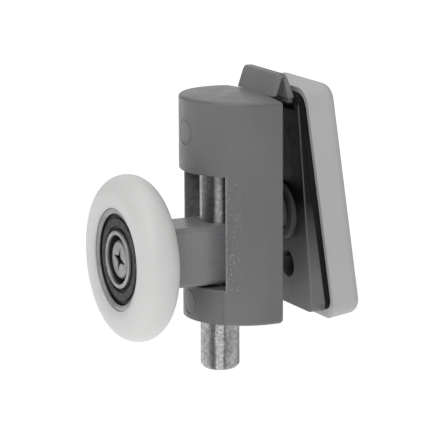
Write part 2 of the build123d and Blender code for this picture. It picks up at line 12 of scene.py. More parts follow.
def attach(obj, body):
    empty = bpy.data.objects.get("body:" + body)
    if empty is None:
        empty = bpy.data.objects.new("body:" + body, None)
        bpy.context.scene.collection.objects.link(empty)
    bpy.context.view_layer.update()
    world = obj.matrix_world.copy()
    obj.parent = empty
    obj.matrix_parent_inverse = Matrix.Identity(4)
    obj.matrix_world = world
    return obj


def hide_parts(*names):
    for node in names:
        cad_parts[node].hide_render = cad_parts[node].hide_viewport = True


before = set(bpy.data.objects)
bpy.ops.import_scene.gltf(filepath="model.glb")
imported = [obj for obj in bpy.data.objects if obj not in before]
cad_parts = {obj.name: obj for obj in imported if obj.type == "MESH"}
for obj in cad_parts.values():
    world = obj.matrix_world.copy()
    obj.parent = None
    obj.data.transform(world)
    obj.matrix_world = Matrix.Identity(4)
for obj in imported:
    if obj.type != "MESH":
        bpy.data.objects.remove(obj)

# Looks of the spring-loaded shower door roller.  Lengths in the classes are millimetres, and every
# mesh is written in metres, in the frame of the CAD model.

MM = 0.001
CIRCLE = 2 * math.pi
LOG = logging.getLogger("roller")
Socket = bpy.types.NodeSocket
Feed = Socket | float | tuple
AXLE_Z = 10.4            # height of the wheel's axle
WEDGE_TILT = 4.34        # the bracket's front leans forward by this many degrees
MERGE = 0.0004           # points nearer than this, in millimetres, become one
ARC_NEAR = 0.012         # a point this near an arc, in millimetres, lies on it
FLAT_SIDE = 0.3          # largest z of an upright face's normal
FLAT_ALIKE = 0.99985     # cosine between a flat's faces and its direction
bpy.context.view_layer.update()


# ---- shapes ------------------------------------------------------------------------------------
def rounded_profile(corners: list, steps: int = 6) -> np.ndarray:
    """Polyline with rounded corners.

    Each corner is (a, b, radius).  The rounding is the circle that touches both legs: its centre lies
    on the bisector at radius / sin(half the angle), and the arc is sampled at equal turns.

    Args:
        corners: closed list of (a, b, radius) corners in order.
        steps: segments in each rounded corner.

    Returns:
        Array of (a, b) points of the closed outline.
    """
    points = np.array([corner[:2] for corner in corners], float)
    out = []
    for i, (_, _, radius) in enumerate(corners):
        here = points[i]
        back = points[i - 1] - here
        ahead = points[(i + 1) % len(points)] - here
        back = back / np.linalg.norm(back)
        ahead = ahead / np.linalg.norm(ahead)
        half = math.acos(np.clip(back @ ahead, -1, 1)) / 2
        if radius <= 0 or half > math.radians(89):
            out.append(here[None])
            continue
        middle = here + (back + ahead) / np.linalg.norm(back + ahead) * radius / math.sin(half)
        start = here + back * radius / math.tan(half) - middle
        end = here + ahead * radius / math.tan(half) - middle
        t = np.linspace(0, 1, steps + 1)[:, None]
        turn = math.pi - 2 * half
        arc = (np.sin((1 - t) * turn) * start + np.sin(t * turn) * end) / math.sin(turn)
        out.append(middle + arc)
    return np.concatenate(out)


def grid_faces(rows: int, cols: int, wrap_rows: bool, wrap_cols: bool) -> np.ndarray:
    """Quads of a grid of points, row by row.

    Args:
        rows: number of rows.
        cols: number of points in a row.
        wrap_rows: the last row joins the first.
        wrap_cols: the last point of a row joins the first.

    Returns:
        Array of four vertex numbers for each face.
    """
    i = np.arange(rows if wrap_rows else rows - 1)[:, None]
    j = np.arange(cols if wrap_cols else cols - 1)[None, :]
    i2 = (i + 1) % rows
    j2 = (j + 1) % cols
    quads = np.stack([i * cols + j, i * cols + j2, i2 * cols + j2, i2 * cols + j], axis=-1)
    return quads.reshape(-1, 4)


def mesh_object(name: str, points: np.ndarray, faces: np.ndarray,
                crease: float = 32.0) -> bpy.types.Object:
    """Mesh from points in millimetres, with poles merged, faces outward and creases kept sharp.

    Args:
        name: the piece's name.
        points: array of (x, y, z) in millimetres.
        faces: array of vertex numbers, four to a face.
        crease: edges that turn more than this many degrees stay sharp.

    Returns:
        The new object, at the origin.
    """
    mesh = bpy.data.meshes.new(name)
    mesh.vertices.add(len(points))
    mesh.vertices.foreach_set("co", (np.asarray(points, float) * MM).ravel())
    mesh.loops.add(faces.size)
    mesh.loops.foreach_set("vertex_index", faces.ravel())
    mesh.polygons.add(len(faces))
    mesh.polygons.foreach_set("loop_start", np.arange(len(faces)) * faces.shape[1])
    mesh.update(calc_edges=True)
    return finish_mesh(name, mesh, crease)


def finish_mesh(name: str, mesh: bpy.types.Mesh, crease: float) -> bpy.types.Object:
    """Merges doubled points, turns the faces outward and sets smooth shading between creases.

    Args:
        name: the piece's name.
        mesh: the mesh to finish.
        crease: edges that turn more than this many degrees stay sharp.

    Returns:
        An object that holds the mesh, linked to the scene.
    """
    work = bmesh.new()
    work.from_mesh(mesh)
    bmesh.ops.remove_doubles(work, verts=work.verts, dist=MERGE * MM)
    bmesh.ops.dissolve_degenerate(work, edges=work.edges, dist=MERGE * MM / 2)
    bmesh.ops.recalc_face_normals(work, faces=work.faces)
    work.to_mesh(mesh)
    work.free()
    mesh.shade_smooth()
    mesh.set_sharp_from_angle(angle=math.radians(crease))
    piece = bpy.data.objects.new(name, mesh)
    bpy.context.scene.collection.objects.link(piece)
    return piece


def even_normals(piece: bpy.types.Object) -> bpy.types.Object:
    """Weights the vertex normals by face area, so that flats beside small roundings stay flat."""
    modifier = piece.modifiers.new("even_normals", "WEIGHTED_NORMAL")
    modifier.keep_sharp = True
    modifier.weight = 50
    return piece


def turns(sides: int) -> np.ndarray:
    """Column of equal turns round a full circle, in radians."""
    return np.linspace(0, CIRCLE, sides, endpoint=False)[:, None]


def lathe(name: str, profile: np.ndarray, centre_z: float, sides: int = 160,
          crease: float = 32.0) -> bpy.types.Object:
    """Closed profile turned about the line along Y at x = 0, z = centre_z.

    A profile point (r, y) at turn t becomes (r cos t, y, centre_z + r sin t).

    Args:
        name: the piece's name.
        profile: array of (radius, y) points of a closed outline.
        centre_z: height of the axis.
        sides: steps round the axis.
        crease: sharp-edge angle in degrees.

    Returns:
        The turned object.
    """
    turn = turns(sides)
    radius = profile[None, :, 0]
    along = np.broadcast_to(profile[None, :, 1], (sides, len(profile)))
    points = np.stack([radius * np.cos(turn), along, centre_z + radius * np.sin(turn)], axis=-1)
    faces = grid_faces(sides, len(profile), True, True)
    return mesh_object(name, points.reshape(-1, 3), faces, crease)


def carried_copy(name: str, node: str, crease: float = 28.0) -> bpy.types.Object:
    """Merged and smoothly shaded copy of a CAD node, for a moulding whose shape CAD already holds.

    Args:
        name: the piece's name.
        node: the CAD node.
        crease: sharp-edge angle in degrees.

    Returns:
        The copy, at the origin.
    """
    piece = finish_mesh(name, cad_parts[node].data.copy(), crease)
    piece.data.materials.clear()
    return even_normals(piece)


def exact_normals(piece: bpy.types.Object, arc_y: float, radii: tuple,
                  planes: tuple) -> bpy.types.Object:
    """Gives the flats and the upright arcs of a moulding their exact normals.

    The shaded mesh is taken as it is.  A corner of a face that lies on an arc about (0, arc_y) points
    straight away from that axis, and a corner of a face that looks along one of the planes points so.

    Args:
        piece: the moulding, whose modifier is applied.
        arc_y: y of the arcs' upright axis in millimetres.
        radii: radii of the arcs in millimetres.
        planes: unit directions of the flats.

    Returns:
        The same piece.
    """
    graph = bpy.context.evaluated_depsgraph_get()
    mesh = bpy.data.meshes.new_from_object(piece.evaluated_get(graph))
    mesh.name = piece.name
    piece.modifiers.clear()
    piece.data = mesh
    spots = np.empty(len(mesh.vertices) * 3)
    mesh.vertices.foreach_get("co", spots)
    corner = np.empty(len(mesh.loops), int)
    mesh.loops.foreach_get("vertex_index", corner)
    starts = np.empty(len(mesh.polygons), int)
    mesh.polygons.foreach_get("loop_start", starts)
    facing = np.empty(len(mesh.polygons) * 3)
    mesh.polygons.foreach_get("normal", facing)
    normals = np.empty(len(mesh.loops) * 3)
    mesh.corner_normals.foreach_get("vector", normals)
    normals = normals.reshape(-1, 3)
    face = np.repeat(np.arange(len(starts)), np.diff(np.append(starts, len(corner))))
    facing = facing.reshape(-1, 3)[face]
    away = spots.reshape(-1, 3)[corner] / MM - (0.0, arc_y, 0.0)
    away[:, 2] = 0.0
    distance = np.linalg.norm(away, axis=1)
    for radius in radii:
        near = (np.abs(distance - radius) < ARC_NEAR) & (np.abs(facing[:, 2]) < FLAT_SIDE)
        whole = np.minimum.reduceat(near.astype(int), starts)[face] == 1
        normals[whole] = away[whole] / distance[whole, None]
    for direction in planes:
        along = facing @ np.array(direction) > FLAT_ALIKE
        normals[along] = direction
    mesh.normals_split_custom_set(normals.tolist())
    return piece


# ---- finishes ----------------------------------------------------------------------------------
class Graph:
    """Small helper that builds one node material on Object coordinates."""

    def __init__(self, name: str) -> None:
        """Starts a material with a Principled surface."""
        self.material = bpy.data.materials.new(name)
        self.material.use_nodes = True
        self.tree = self.material.node_tree
        self.surface = self.tree.nodes["Principled BSDF"]
        self.where = self.tree.nodes.new("ShaderNodeTexCoord").outputs["Object"]

    def node(self, kind: str, inputs: dict | None = None, **settings) -> bpy.types.Node:
        """Adds a node, with settings as its properties and inputs as values or links."""
        made = self.tree.nodes.new(kind)
        for key, value in settings.items():
            setattr(made, key, value)
        for key, value in (inputs or {}).items():
            self.feed(made.inputs[key], value)
        return made

    def feed(self, socket: Socket, value: Feed) -> None:
        """Links an output to the socket, or sets its value."""
        if isinstance(value, Socket):
            self.tree.links.new(value, socket)
        else:
            socket.default_value = value

    def set(self, **values) -> None:
        """Sets or links the surface's sockets; underscores stand for spaces."""
        for key, value in values.items():
            self.feed(self.surface.inputs[key.replace("_", " ")], value)

    def stretched(self, stretch: tuple, centre: tuple = (0.0, 0.0, 0.0)) -> Socket:
        """Object coordinates moved to a centre and scaled along each axis."""
        moved = self.node("ShaderNodeVectorMath", {0: self.where, 1: centre}, operation="SUBTRACT")
        return self.times(moved.outputs[0], stretch)

    def place(self, axis: str) -> Socket:
        """Object coordinate along one axis, in metres."""
        return self.node("ShaderNodeSeparateXYZ", {0: self.where}).outputs[axis]

    def axle_radius(self, axle_z: float) -> Socket:
        """Distance from the wheel's axle, in metres."""
        flat = self.stretched((1.0, 0.0, 1.0), (0.0, 0.0, axle_z * MM))
        return self.node("ShaderNodeVectorMath", {0: flat}, operation="LENGTH").outputs["Value"]

    def band(self, value: Feed, middle: float, soft: float, low: float = 0.0, high: float = 1.0) -> Socket:
        """Step from low to high as a length passes middle, soft to each side; both in millimetres."""
        return self.remap(value, (middle - soft) * MM, (middle + soft) * MM, low, high)

    def noise(self, scale: float, detail: float = 3.0, roughness: float = 0.5,
              stretch: tuple | None = None) -> Socket:
        """Fractal noise from 0 to 1, with scale in repeats per metre."""
        where = self.where if stretch is None else self.stretched(stretch)
        inputs = {"Vector": where, "Scale": scale, "Detail": detail, "Roughness": roughness}
        return self.node("ShaderNodeTexNoise", inputs).outputs["Fac"]

    def remap(self, value: Feed, low: float, high: float, to_low: float, to_high: float) -> Socket:
        """Maps low..high to to_low..to_high, clamped."""
        inputs = {"Value": value, "From Min": low, "From Max": high, "To Min": to_low, "To Max": to_high}
        return self.node("ShaderNodeMapRange", inputs).outputs["Result"]

    def mix(self, factor: Feed, first: Feed, second: Feed) -> Socket:
        """Mixes two colours."""
        made = self.node("ShaderNodeMix", data_type="RGBA")
        for socket, value in zip((made.inputs[0], made.inputs[6], made.inputs[7]), (factor, first, second)):
            self.feed(socket, value)
        return made.outputs[2]

    def ramp(self, turn: Feed, stops: tuple) -> Socket:
        """Level that runs through (azimuth in degrees, level) stops; turn is the azimuth over 180."""
        place = self.remap(turn, -1.0, 1.0, 0.0, 1.0)
        made = self.node("ShaderNodeValToRGB", {"Fac": place})
        while len(made.color_ramp.elements) < len(stops):
            made.color_ramp.elements.new(0.5)
        for element, (azimuth, level) in zip(made.color_ramp.elements, stops):
            element.position = (azimuth / 180 + 1) / 2
            element.color = grey(level)
        return made.outputs["Color"]

    def times(self, first: Feed, second: Feed) -> Socket:
        """Product of two colours or vectors, which may pass 1."""
        made = self.node("ShaderNodeVectorMath", {0: first, 1: second}, operation="MULTIPLY")
        return made.outputs[0]

    def math(self, operation: str, first: Feed, second: Feed = 0.0) -> Socket:
        """One arithmetic step."""
        return self.node("ShaderNodeMath", {0: first, 1: second}, operation=operation).outputs[0]

    def bump(self, height: Feed, depth_mm: float, strength: float = 1.0,
             under: Socket | None = None) -> Socket:
        """Bump of the given depth in millimetres, on top of another bump."""
        inputs = {"Height": height, "Distance": depth_mm * MM, "Strength": strength}
        if under is not None:
            inputs["Normal"] = under
        return self.node("ShaderNodeBump", inputs).outputs["Normal"]


def grey(level: float, tint: tuple = (1.0, 1.0, 1.0)) -> tuple:
    """Linear colour of a grey level, slightly tinted."""
    return tuple(level * t for t in tint) + (1.0,)


@dataclass(frozen=True)
class ShadeAndEdgeHighlight:
    """Painted shade that deepens with height, weaker on a wedge's front plane, and a painted highlight down
    that plane's side edges; lengths in millimetres.

    The plane's y is wedge_front at z = 0 and falls by wedge_slope for each unit of height.
    """

    low: float
    span: float = 12.0
    darkest: float = 0.03
    ragged: float = 1.2
    on_front: float = 0.25
    wedge_front: float = 12.2
    wedge_half_w: float = 7.4
    wedge_slope: float = math.tan(math.radians(WEDGE_TILT))
    edge_highlight: float = 0.4
    edge_highlight_pale: float = 1.6

    def over(self, g: Graph, flow: Socket, base: Socket, level: float, tint: tuple) -> Socket:
        """Lays painted shade over a colour, then paints a highlight along the plane's side edges.

        Args:
            g: the material's graph.
            flow: cloud that makes the painted shade's lower edge ragged.
            base: the colour under the painted shade.
            level: grey level of the moulding.
            tint: tint of the moulding.

        Returns:
            The colour with painted shade and a painted highlight.
        """
        # painted shade: the colour darkens with height, less on the wedge's front plane
        height = g.place("Z")
        edge = g.math("ADD", height, g.remap(flow, 0.0, 1.0, -self.ragged * MM, self.ragged * MM))
        share = g.remap(edge, self.low * MM, (self.low + self.span) * MM, 0.0, 1.0)
        behind = g.math("ADD", g.place("Y"), g.math("MULTIPLY", height, self.wedge_slope))
        share = g.math("MULTIPLY", share, g.band(behind, self.wedge_front - 0.1, 0.05, self.on_front))
        base = g.mix(share, base, grey(level * self.darkest, tint))
        # painted highlight: a pale line down the front plane's side edges
        side = g.band(g.math("ABSOLUTE", g.place("X")), self.wedge_half_w - 0.26, 0.04)
        front = g.band(behind, self.wedge_front + 0.15, 0.05, self.edge_highlight, 0.0)
        return g.mix(g.math("MULTIPLY", side, front), base, grey(level * self.edge_highlight_pale, tint))


@dataclass(frozen=True)
class WindowEdgeHighlight:
    """Painted highlight along a window's front edges: a pale ragged line, with pale chips beside it;
    lengths in millimetres.
    """

    half_w: float = 7.1
    low: float = 5.4
    high: float = 22.9
    back_y: float = 0.2
    chip_reach: float = 1.9
    pale: float = 2.6

    def over(self, g: Graph, base: Socket, level: float, tint: tuple) -> Socket:
        """Lays the painted highlight over a colour.

        Args:
            g: the material's graph.
            base: the colour under the painted highlight.
            level: grey level of the moulding.
            tint: tint of the moulding.

        Returns:
            The colour with the painted highlight over it.
        """
        # painted highlight: pale where the window's front edges run
        off = g.math("SUBTRACT", g.math("ABSOLUTE", g.place("X")), self.half_w * MM)
        off = g.math("ABSOLUTE", off)
        height = g.place("Z")
        inside = g.math("MULTIPLY", g.band(height, self.low, 0.3), g.band(height, self.high, 0.2, 1.0, 0.0))
        inside = g.math("MULTIPLY", inside, g.band(g.place("Y"), self.back_y + 0.3, 0.3, 1.0, 0.0))
        ragged = g.remap(g.noise(1500, 3, 0.7), 0.35, 0.6, 0.25, 1.0)
        line = g.math("MULTIPLY", g.band(off, 0.325, 0.075, 0.7, 0.0), ragged)
        chips = g.remap(g.noise(2300, 2, 0.6), 0.60, 0.66, 0.0, 0.8)
        chips = g.math("MULTIPLY", chips, g.remap(off, 0.3 * MM, self.chip_reach * MM, 1.0, 0.0))
        share = g.math("MULTIPLY", g.math("MAXIMUM", line, chips), inside)
        return g.mix(share, base, grey(level * self.pale, tint))


@dataclass(frozen=True)
class MouldedPlastic:
    """Injection-moulded plastic: cloudy flow, fine spark-eroded skin and faint rub marks in the roughness,
    with painted shade and painted highlights where a finish asks for them.
    """

    name: str
    level: float
    tint: tuple = (1.0, 1.0, 1.0)
    roughness: float = 0.42
    cloud: float = 0.06
    skin_mm: float = 0.004
    speck: float = 0.05
    specular: float = 0.5
    shade_and_highlight: ShadeAndEdgeHighlight | None = None
    window_highlight: WindowEdgeHighlight | None = None

    def build(self) -> bpy.types.Material:
        """Returns the finished material."""
        g = Graph(self.name)
        flow = g.remap(g.noise(170, 4, 0.6, (1.0, 1.0, 0.55)), 0.3, 0.7, 0.0, 1.0)
        fine = g.noise(2600, 3, 0.6)
        low = grey(self.level * (1 - self.cloud), self.tint)
        high = grey(self.level * (1 + self.cloud), self.tint)
        base = g.mix(flow, low, high)
        specks = g.remap(g.noise(1500, 2, 0.7), 0.62, 0.72, 0.0, self.speck)
        base = g.mix(specks, base, grey(min(1.0, self.level * 1.7), self.tint))
        # painted shade and painted highlight, where the finish asks for them
        if self.shade_and_highlight is not None:
            base = self.shade_and_highlight.over(g, flow, base, self.level, self.tint)
        # painted highlight along the window's front edges
        if self.window_highlight is not None:
            base = self.window_highlight.over(g, base, self.level, self.tint)
        rub = g.remap(g.noise(420, 3, 0.6), 0.35, 0.7, -0.05, 0.07)
        rough = g.math("ADD", g.math("ADD", rub, self.roughness), g.remap(fine, 0.3, 0.7, -0.02, 0.02))
        skin = g.bump(fine, self.skin_mm)
        waves = g.bump(g.noise(240, 2, 0.4), self.skin_mm * 2.5, 0.6, skin)
        g.set(Base_Color=base, Roughness=rough, Normal=waves)
        g.surface.inputs["IOR"].default_value = 1.5
        g.surface.inputs["Specular IOR Level"].default_value = self.specular
        return g.material


@dataclass(frozen=True)
class WhiteNylon:
    """Polished white nylon with a soft glow under the skin and fine running marks."""

    name: str = "polished_tyre_nylon"
    level: float = 0.74
    axle_z: float = AXLE_Z

    def build(self) -> bpy.types.Material:
        """Returns the finished material."""
        g = Graph(self.name)
        cloud = g.remap(g.noise(120, 3, 0.55), 0.3, 0.7, 0.0, 1.0)
        duller = grey(self.level * 0.965, (1.0, 1.0, 0.985))
        base = g.mix(cloud, duller, grey(self.level, (1.0, 1.0, 0.995)))
        dirt_and_shade = g.remap(g.noise(900, 4, 0.65), 0.6, 0.8, 0.0, 0.10)
        base = g.mix(dirt_and_shade, base, grey(0.45, (1.0, 0.98, 0.94)))
        # running marks: noise that is long round the axle and short across the tread
        spun = g.stretched((0.15, 6.0, 0.15), (0.0, 0.0, self.axle_z * MM))
        marks = g.node("ShaderNodeTexNoise", {"Vector": spun, "Scale": 900.0, "Detail": 3.0}).outputs["Fac"]
        rough = g.math("ADD", g.remap(marks, 0.3, 0.7, 0.40, 0.50), g.remap(cloud, 0, 1, -0.02, 0.03))
        skin = g.bump(marks, 0.0015)
        skin = g.bump(g.noise(700, 2, 0.5), 0.004, 0.5, skin)
        g.set(Base_Color=base, Roughness=rough, Normal=skin)
        g.surface.inputs["Subsurface Weight"].default_value = 0.5
        g.surface.inputs["Subsurface Radius"].default_value = (1.0, 0.95, 0.9)
        g.surface.inputs["Subsurface Scale"].default_value = 2.5 * MM
        g.surface.inputs["IOR"].default_value = 1.52
        return g.material


@dataclass(frozen=True)
class PlatedBar:
    """Zinc-plated bar made by drawing: mottled crystals and streaks along the draw."""

    name: str = "zinc_plated_bar"
    level: float = 0.38
    axis: int = 2
    reflection_stops: tuple = ()

    def pulled(self, share: float) -> tuple:
        """Stretch that draws a pattern out along the bar."""
        return tuple(share if k == self.axis else 1.0 for k in range(3))

    def build(self) -> bpy.types.Material:
        """Returns the finished material; the (azimuth, level) stops paint reflected light and shade in
        bands round the bar.
        """
        g = Graph(self.name)
        bands = g.noise(750, 2, 0.5, self.pulled(0.02))
        streaks = g.noise(2200, 5, 0.7, self.pulled(0.08))
        spots = g.noise(1900, 5, 0.75)
        patches = g.noise(600, 4, 0.65, self.pulled(0.5))
        dull = g.remap(spots, 0.42, 0.66, 0.0, 1.0)
        base = g.mix(dull, grey(self.level * 1.25), grey(self.level * 0.5, (1.0, 0.99, 0.96)))
        base = g.mix(g.remap(patches, 0.4, 0.65, 0.0, 0.6), base, grey(self.level * 0.8, (1.0, 1.0, 1.03)))
        base = g.mix(g.remap(streaks, 0.55, 0.75, 0.0, 0.55), base, grey(self.level * 0.32))
        base = g.mix(g.remap(bands, 0.52, 0.64, 0.0, 0.6), base, grey(self.level * 0.42, (1.0, 0.99, 0.97)))
        # painted reflection: the colour is scaled by azimuth round the bar, in light and dark bands
        if self.reflection_stops:
            ahead = g.math("MULTIPLY", g.place("Y"), -1.0)
            turn = g.math("DIVIDE", g.math("ARCTAN2", g.place("X"), ahead), math.pi)
            wavy = g.math("ADD", turn, g.remap(streaks, 0.3, 0.7, -0.012, 0.012))
            base = g.times(base, g.ramp(wavy, self.reflection_stops))
        rough = g.math("ADD", g.remap(spots, 0.3, 0.7, 0.30, 0.52), g.remap(streaks, 0.3, 0.7, -0.06, 0.08))
        skin = g.bump(spots, 0.012)
        skin = g.bump(streaks, 0.010, 0.8, skin)
        g.set(Base_Color=base, Roughness=rough, Normal=skin)
        g.surface.inputs["Metallic"].default_value = 0.92
        return g.material


@dataclass(frozen=True)
class TurnedMetal:
    """Turned or ground metal with rings round the axle and a few dull patches."""

    name: str
    level: float = 0.55
    tint: tuple = (1.0, 1.0, 1.0)
    roughness: float = 0.24
    axle_z: float = AXLE_Z
    ring_mm: float = 0.003
    shade_from: float | None = None

    def build(self) -> bpy.types.Material:
        """Returns the finished material.  Behind the given y the metal is painted near black and dull:
        painted shade in the recesses.
        """
        g = Graph(self.name)
        across = {"W": g.axle_radius(self.axle_z), "Scale": 9000.0, "Detail": 3.0}
        rings = g.node("ShaderNodeTexNoise", across, noise_dimensions="1D").outputs["Fac"]
        patches = g.noise(500, 4, 0.65)
        base = g.mix(g.remap(patches, 0.35, 0.7, 0.0, 1.0), grey(self.level, self.tint),
                     grey(self.level * 0.78, self.tint))
        base = g.mix(g.remap(rings, 0.5, 0.7, 0.0, 0.25), base, grey(self.level * 0.6, self.tint))
        rough = g.math("ADD", g.remap(rings, 0.3, 0.7, -0.05, 0.07),
                       g.remap(patches, 0.3, 0.7, self.roughness, self.roughness + 0.12))
        metal = 1.0
        if self.shade_from is not None:
            # painted shade: past the given y the metal turns near black, rough and not metallic
            waver = g.remap(g.noise(1500, 3, 0.6), 0.3, 0.7, -0.05 * MM, 0.05 * MM)
            dirt_and_shade = g.band(g.math("ADD", g.place("Y"), waver), self.shade_from + 0.07, 0.07)
            base = g.mix(dirt_and_shade, base, grey(0.012, (1.0, 0.97, 0.92)))
            rough = g.math("ADD", rough, g.math("MULTIPLY", dirt_and_shade, 0.25))
            metal = g.remap(dirt_and_shade, 0.0, 1.0, 1.0, 0.0)
        g.set(Base_Color=base, Roughness=rough, Metallic=metal, Normal=g.bump(rings, self.ring_mm))
        return g.material


@dataclass(frozen=True)
class SealRubber:
    """Moulded seal: mottled grey face with grit, and black where its lips run in shadow."""

    name: str = "mottled_seal_rubber"
    level: float = 0.03
    axle_z: float = AXLE_Z
    face_inner: float = 5.0
    face_outer: float = 6.3

    def build(self) -> bpy.types.Material:
        """Returns the finished material: the mottled face lies between two radii about the axle."""
        g = Graph(self.name)
        waver = g.remap(g.noise(900, 3, 0.6), 0.3, 0.7, -0.08 * MM, 0.08 * MM)
        radius = g.math("ADD", g.axle_radius(self.axle_z), waver)
        inside = g.band(radius, self.face_inner, 0.1)
        face = g.math("MULTIPLY", inside, g.band(radius, self.face_outer, 0.1, 1.0, 0.0))
        grit = g.remap(g.noise(1500, 4, 0.75), 0.5, 0.62, 0.0, 1.0)
        cloud = g.remap(g.noise(700, 4, 0.65), 0.35, 0.7, 0.0, 1.0)
        mottled = g.mix(cloud, grey(self.level * 0.2), grey(self.level * 1.6))
        mottled = g.mix(g.math("MULTIPLY", grit, 0.7), mottled, grey(self.level * 4.5, (1.0, 1.0, 0.98)))
        # painted shade: outside the mottled face, over both grooves, the rubber is painted black
        base = g.mix(face, grey(0.008), mottled)
        rough = g.remap(grit, 0.0, 1.0, 0.42, 0.6)
        g.set(Base_Color=base, Roughness=rough, Normal=g.bump(grit, 0.012))
        g.surface.inputs["Specular IOR Level"].default_value = 0.2
        return g.material


@dataclass(frozen=True)
class Rubber:
    """Matt rubber with a fine grain, pale bloom and dust."""

    name: str
    level: float = 0.03
    dust: float = 0.12
    roughness: float = 0.62
    grain_mm: float = 0.01

    def build(self) -> bpy.types.Material:
        """Returns the finished material."""
        g = Graph(self.name)
        grain = g.noise(2400, 4, 0.6)
        bloom = g.remap(g.noise(380, 4, 0.65), 0.4, 0.75, 0.0, 1.0)
        base = g.mix(bloom, grey(self.level), grey(self.level * 2.1, (1.0, 1.0, 1.02)))
        dust = g.remap(g.noise(1300, 3, 0.7), 0.6, 0.75, 0.0, self.dust)
        base = g.mix(dust, base, grey(0.3, (1.0, 0.98, 0.95)))
        rough = g.remap(grain, 0.3, 0.7, self.roughness - 0.08, self.roughness + 0.08)
        skin = g.bump(grain, self.grain_mm)
        g.set(Base_Color=base, Roughness=rough, Normal=skin)
        g.surface.inputs["Specular IOR Level"].default_value = 0.2
        return g.material


class Finish(Enum):
    """The finishes of the object's pieces."""

    # the housing: a painted highlight along its window's front edges
    HOUSING = MouldedPlastic("grey_moulded_nylon", 0.166, (1.0, 1.0, 1.005), 0.38, window_highlight=WindowEdgeHighlight())
    # the bracket: painted shade darkening towards its top, and a painted highlight on its front side edges
    BRACKET = MouldedPlastic("bracket_moulded_nylon", 0.18, (1.0, 1.0, 1.005), 0.5, specular=0.18,
                             shade_and_highlight=ShadeAndEdgeHighlight(5.5))
    TAB = MouldedPlastic("tab_moulded_nylon", 0.225, (1.0, 1.0, 1.005), 0.40)
    CARRIER = MouldedPlastic("carrier_moulded_nylon", 0.27, (1.01, 0.99, 1.03), 0.30)
    COVER = MouldedPlastic("cover_moulded_plastic", 0.52, (1.0, 1.0, 1.01), 0.58, cloud=0.025,
                           skin_mm=0.003, speck=0.03)
    BUSH = MouldedPlastic("bush_plastic", 0.62, (1.0, 0.995, 0.97), 0.38)
    TYRE = WhiteNylon()
    # painted reflection: light and dark bands round the bar by azimuth
    BAR = PlatedBar(reflection_stops=((-180, 1.0), (-40, 0.9), (-8, 1.4), (22, 1.2), (40, 0.35), (48, 0.45), (53, 1.5),
                           (72, 1.5), (78, 0.4), (84, 0.95), (120, 1.1), (136, 0.6), (160, 0.5)))
    PIN = PlatedBar("plated_pin", 0.42, axis=0)
    # painted shade: the rings' inner walls and the screw's drive recess and head side go dark
    RING = TurnedMetal("ground_ring_steel", 0.48, roughness=0.42, shade_from=-16.95)
    SCREW = TurnedMetal("nickel_screw", 0.38, (1.0, 0.995, 0.985), 0.32, shade_from=-16.78)
    BALL = TurnedMetal("ball_steel", 0.62, roughness=0.1, ring_mm=0.0005)
    SPRING = PlatedBar("spring_wire", 0.35)
    BRASS = TurnedMetal("turned_brass", 0.55, (1.25, 0.95, 0.48), 0.28)
    CLAMP_SCREW = TurnedMetal("plated_screw", 0.45, (1.0, 0.99, 0.97), 0.3, axle_z=17.0)
    SLEEVE = TurnedMetal("sleeve_steel", 0.45)
    SEAL = SealRubber()
    GASKET = Rubber("gasket_rubber", 0.006, dust=0.03, roughness=0.7)

    @property
    def material(self) -> bpy.types.Material:
        """The finish's material, built the first time it is asked for."""
        return bpy.data.materials.get(self.value.name) or self.value.build()


def dress(piece: bpy.types.Object, finish: Finish, body: str, nodes: tuple) -> bpy.types.Object:
    """Gives a piece its finish and its body, and hides the CAD nodes that it stands for."""
    piece.data.materials.clear()
    piece.data.materials.append(finish.material)
    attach(piece, body)
    if nodes:
        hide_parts(*nodes)
    LOG.info("%s rides on %s", piece.name, body)
    return piece


def dress_node(node: str, finish: Finish) -> None:
    """Gives a carried-over CAD node its finish."""
    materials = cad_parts[node].data.materials
    materials.clear()
    materials.append(finish.material)
    LOG.info("%s keeps its CAD shape", node)


